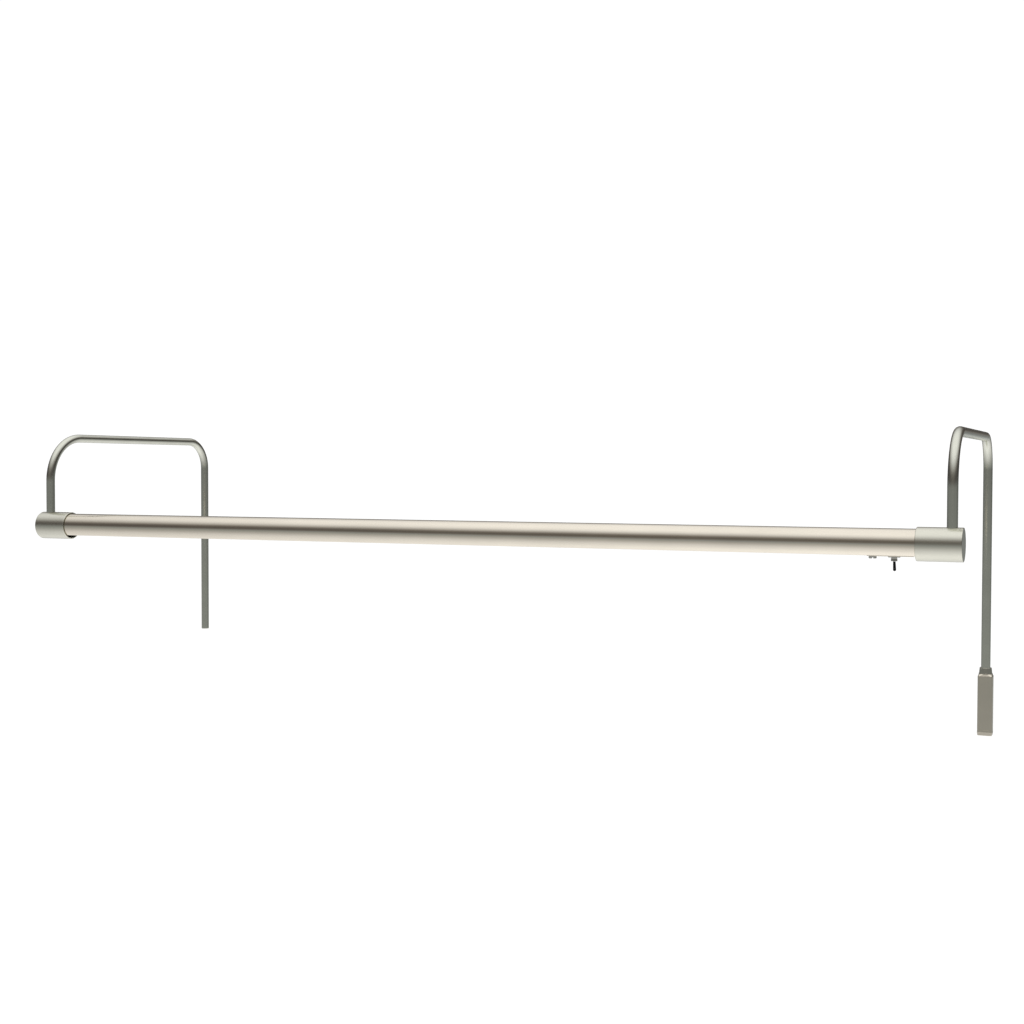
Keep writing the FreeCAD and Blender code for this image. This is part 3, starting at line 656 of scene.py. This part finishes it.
def inlet_collar():
    """A collar that tapers up the leg from a short flange."""
    low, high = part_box("inlet_collar")
    outer, inner, height = (high.y - low.y) / 2, ARM_R + SLIP, high.z - low.z
    flange = 0.8 * MM
    corners = [
        (0, inner, 0), (0, outer + 0.25 * MM, 0.1 * MM), (flange, outer + 0.1 * MM, 0.05 * MM),
        (flange, outer - 0.26 * MM, 0), (height, outer - 0.8 * MM, 0.35 * MM), (height, inner, 0.12 * MM),
    ]
    verts, faces = lathe(soften(corners, 4, True), underside("inlet_collar"), UP, 96, True)
    finish_piece(mesh_of("grip_collar", verts, faces), "cap_nickel", "right_hanger", ["inlet_collar"])


def inlet_housing():
    """The square housing: round uprights, a sloping shoulder and a fine shadow line above its foot."""
    low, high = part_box("inlet_housing")
    at = middle("inlet_housing")
    half, radius = (high.x - low.x) / 2, 2.4 * MM
    shoulder = high.z - 2.3 * MM
    top_half, top_radius = 7.1 * MM, 5.4 * MM
    line, groove, depth = low.z + 2.2 * MM, 0.3 * MM, 0.2 * MM
    sides = [
        (low.z, half - 0.3 * MM), (low.z + 0.1 * MM, half - 0.1 * MM), (low.z + 0.3 * MM, half),
        (line - groove, half), (line - groove * 0.6, half - depth),
        (line + groove * 0.6, half - depth), (line + groove, half),
        (shoulder - 0.35 * MM, half), (shoulder + 0.1 * MM, half - 0.12 * MM),
    ]
    rows = [(z, h, radius) for z, h in sides] + [
        (high.z - 0.15 * MM, top_half + 0.08 * MM, top_radius),
        (high.z, top_half - 0.1 * MM, top_radius - 0.1 * MM),
    ]
    verts, faces = loft([rounded_square(h, r, z, at) for z, h, r in brace(rows, near=0.25 * MM)])
    housing = mesh_of("inlet_case", verts, faces)
    wall, below_leg, grub_hole_r = 1.5 * MM, 2 * MM, 1.6 * MM
    room_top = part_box("arm_right")[0].z - below_leg
    room = loft([rounded_square(half - wall, 0.6 * MM, z, at) for z in (low.z - OVER, room_top)])
    cut(housing, mesh_of("cutter", *room))
    leg_foot = Vector((at.x, at.y, room_top))
    cut(housing, rod(leg_foot, UP, -OVER, high.z - room_top + OVER, ARM_R + SLIP, 64))
    grub = middle("inlet_grub")
    cut(housing, rod(Vector((grub.x, at.y, grub.z)), REARWARD, 2 * MM, half + OVER, grub_hole_r, 40))
    finish_piece(housing, "housing_nickel", "right_hanger", ["inlet_housing"], 24)


def inlet_foot():
    """The tapered closing plate, with its socket hole and two screw seats."""
    low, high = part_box("inlet_foot")
    at, base = middle("inlet_foot"), underside("inlet_foot")
    half = (high.x - low.x) / 2
    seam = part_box("inlet_housing")[0].z - 0.05 * MM
    spigot = half - 1.8 * MM
    rows = [
        (low.z, half - 0.75 * MM, 2.2), (low.z + 0.08 * MM, half - 0.57 * MM, 2.3),
        (low.z + 0.3 * MM, half - 0.46 * MM, 2.4), (seam - 0.15 * MM, half - 0.02 * MM, 2.4),
        (seam, half - 0.17 * MM, 2.3), (seam, spigot, 0.4), (high.z, spigot, 0.4),
    ]
    verts, faces = loft([rounded_square(h, r * MM, z, at) for z, h, r in brace(rows)])
    foot = mesh_of("foot_plate", verts, faces)
    socket_r, screw_head_r, seat_depth = 4.05 * MM, 1.95 * MM, 1.4 * MM
    seat_r, hole_r, past_top = 2.05 * MM, 1.05 * MM, high.z - low.z + OVER
    cut(foot, rod(base, UP, -OVER, past_top, socket_r))
    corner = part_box("foot_screws")[1] - base
    screw = Vector((corner.x - screw_head_r, corner.y - screw_head_r, 0))
    for seat in (base + screw, base - screw):
        cut(foot, rod(seat, UP, -OVER, seat_depth, seat_r, 40), rod(seat, UP, 0, past_top, hole_r, 32))
    finish_piece(foot, "housing_nickel", "right_hanger", ["inlet_foot"], 24)


# ---------------------------------------------------------------- the studio
def only_seen_by_camera(obj):
    """Keep a stage piece out of reflections, bounced light and shadows."""
    for kind in ("diffuse", "glossy", "transmission", "volume_scatter", "shadow"):
        setattr(obj, "visible_" + kind, False)


def backdrop():
    """A plain white shell round everything, seen by the camera and nothing else."""
    bpy.ops.mesh.primitive_uv_sphere_add(segments=48, ring_count=24, radius=14, location=BAR)
    shell = bpy.context.object
    shell.name = "backdrop"
    material = bpy.data.materials.new("backdrop")
    material.use_nodes = True
    tree = material.node_tree
    tree.nodes.remove(tree.nodes["Principled BSDF"])
    glow = tree.nodes.new("ShaderNodeEmission")
    glow.inputs["Color"].default_value = (1, 1, 1, 1)
    glow.inputs["Strength"].default_value = 1.05
    tree.links.new(glow.outputs[0], tree.nodes["Material Output"].inputs["Surface"])
    shell.data.materials.append(material)
    only_seen_by_camera(shell)


def floor():
    """A plain pale floor, well below the hanging bar."""
    drop, reach = 3.0, 13
    bpy.ops.mesh.primitive_circle_add(vertices=96, radius=reach, fill_type="NGON")
    disc = bpy.context.object
    disc.name = "floor"
    disc.location = (BAR.x, BAR.y, -drop)
    material, _, shader = new_material("floor", (0.9, 0.9, 0.9), 0, 0.8)
    shader.inputs["Emission Color"].default_value = (1, 1, 1, 1)
    shader.inputs["Emission Strength"].default_value = 0.42
    shader.inputs["Specular IOR Level"].default_value = 0.0
    disc.data.materials.append(material)
    disc.visible_glossy = False


# Light levels by elevation in degrees: before the lamp, behind it, and straight behind it.
FRONT_LIGHT = [
    (-90, 1.17), (-60, 0.97), (-38, 0.75), (-25, 0.54), (-11, 0.37), (-7, 0.335), (-3, 0.28), (0, 0.24),
    (6, 0.15), (12, 0.115), (20, 0.155), (26, 0.235), (35, 0.49), (42, 0.68), (50, 0.91), (65, 1.10),
    (80, 1.10),
]
BACK_LIGHT = [
    (-90, 1.17), (-60, 1.06), (-35, 0.90), (-15, 0.52), (-8, 0.30), (-5, 0.23), (-2, 0.20), (1, 0.14),
    (4, 0.085), (15, 0.085), (21, 0.15), (27, 0.33), (34, 0.58), (44, 0.84), (60, 1.08), (80, 1.10),
]
BEHIND_LIGHT = [
    (-90, 1.17), (-30, 0.90), (-9, 0.68), (-6.2, 0.50), (-5, 0.37), (-3, 0.25), (-1, 0.23), (2, 0.20),
    (4, 0.13), (6, 0.06), (15, 0.06), (21, 0.14), (34, 0.58), (60, 1.08),
]
DIM, GREENER = 0.6, (0.965, 1, 0.97)


def ramp_of(tree, height, bands):
    """A ramp through (elevation in degrees, light level); dim light is warmer, but near eye level greener."""
    ramp = tree.nodes.new("ShaderNodeValToRGB")
    tree.links.new(height, ramp.inputs["Fac"])
    stops = ramp.color_ramp.elements
    while len(stops) > 1:
        stops.remove(stops[-1])
    for i, (degrees, light) in enumerate(bands):
        at = (math.sin(math.radians(degrees)) + 1) / 2
        stop = stops[0] if i == 0 else stops.new(at)
        stop.position = at
        warm = 0.12 * max(0.0, 1 - light / DIM)
        cast = GREENER if -12 < degrees < 2 else (1 + warm, 1, 1 - warm)
        stop.color = (*(light * share for share in cast), 1)
    return ramp.outputs["Color"]


def between(tree, value, start, end):
    """A smooth step from 0 to 1 as the value goes from start to end."""
    node = tree.nodes.new("ShaderNodeMapRange")
    node.interpolation_type = "SMOOTHSTEP"
    node.inputs["From Min"].default_value = start
    node.inputs["From Max"].default_value = end
    tree.links.new(value, node.inputs["Value"])
    return node.outputs["Result"]


def maths(tree, operation, *values):
    node = tree.nodes.new("ShaderNodeMath")
    node.operation = operation
    for value, socket in zip(values, node.inputs):
        tree.links.new(value, socket)
    return node.outputs["Value"]


def mixed(tree, share, first, second, blend="MIX"):
    """Blend second over first by a share; each of the three may be a constant or a socket."""
    node = tree.nodes.new("ShaderNodeMix")
    node.data_type, node.blend_type = "RGBA", blend
    if isinstance(share, int):
        node.inputs["Factor"].default_value = share
    else:
        tree.links.new(share, node.inputs["Factor"])
    for name, colour in (("A", first), ("B", second)):
        if isinstance(colour, tuple):
            node.inputs[name].default_value = colour
        else:
            tree.links.new(colour, node.inputs[name])
    return node.outputs["Result"]


def surroundings():
    """A studio that is bright above and below, with a dark band just above eye level, dimmer at the sides."""
    world = bpy.data.worlds.new("studio")
    bpy.context.scene.world = world
    world.use_nodes = True
    tree = world.node_tree
    coords = tree.nodes.new("ShaderNodeTexCoord")
    split = tree.nodes.new("ShaderNodeSeparateXYZ")
    tree.links.new(coords.outputs["Generated"], split.inputs[0])
    x, y, z = (split.outputs[axis] for axis in "XYZ")
    height = tree.nodes.new("ShaderNodeMapRange")
    height.inputs["From Min"].default_value = -1
    height.inputs["From Max"].default_value = 1
    tree.links.new(z, height.inputs["Value"])
    front, back, behind = (
        ramp_of(tree, height.outputs["Result"], bands) for bands in (FRONT_LIGHT, BACK_LIGHT, BEHIND_LIGHT)
    )
    around = mixed(tree, between(tree, y, -0.15, 0.35), front, back)
    low_sky = maths(tree, "MULTIPLY", between(tree, z, -0.04, 0.12), between(tree, z, 0.6, 0.2))
    aside = between(tree, maths(tree, "ABSOLUTE", x), 0.25, 0.95)
    shade = mixed(tree, maths(tree, "MULTIPLY", aside, low_sky), (1, 1, 1, 1), (0.62, 0.62, 0.66, 1))
    dimmed = mixed(tree, 1, around, shade, "MULTIPLY")
    lit = mixed(tree, between(tree, y, 0.955, 0.985), dimmed, behind)
    tree.links.new(lit, tree.nodes["Background"].inputs["Color"])


def softbox():
    """A large soft light overhead, for the matt surfaces; it leaves no highlight of its own."""
    light = bpy.data.lights.new("softbox", "AREA")
    light.shape, light.size, light.size_y = "RECTANGLE", 2.6, 1.6
    light.energy = 14
    box = bpy.data.objects.new("softbox", light)
    bpy.context.scene.collection.objects.link(box)
    box.location = BAR + Vector((0.5, -0.9, 2.4))
    box.rotation_mode = "QUATERNION"
    box.rotation_quaternion = (BAR - box.location).to_track_quat("-Z", "Y")
    box.visible_glossy = False


def camera():
    """Eye level a little above the bar, to the right of its middle."""
    data = bpy.data.cameras.new("camera")
    data.sensor_width, data.lens = 36, 51.31
    eye = bpy.data.objects.new("camera", data)
    bpy.context.scene.collection.objects.link(eye)
    yaw, pitch, roll = (math.radians(d) for d in (23.657, 1.692, 0.113))
    ahead = Vector((-math.sin(yaw) * math.cos(pitch), math.cos(yaw) * math.cos(pitch), -math.sin(pitch)))
    right = ahead.cross(Vector(UP)).normalized()
    up = right.cross(ahead)
    right_rolled = right * math.cos(roll) + up * math.sin(roll)
    up_rolled = -right * math.sin(roll) + up * math.cos(roll)
    turn = Matrix((right_rolled, up_rolled, -ahead)).transposed()
    eye.rotation_mode = "QUATERNION"
    eye.rotation_quaternion = turn.to_quaternion()
    eye.location = BAR + Vector((0.69157, -1.38927, 0.06893))
    bpy.context.scene.camera = eye


camera()
lamp_tube()
diffuser()
control_plate()
plate_screw()
switch_washer()
switch_nut()
switch_bushing()
switch_lever()
end_cap("left", -1)
end_cap("right", 1)
arm("left")
arm("right")
inlet_collar()
inlet_housing()
inlet_foot()
backdrop()
floor()
surroundings()
softbox()
bpy.context.scene.view_settings.view_transform = "Standard"
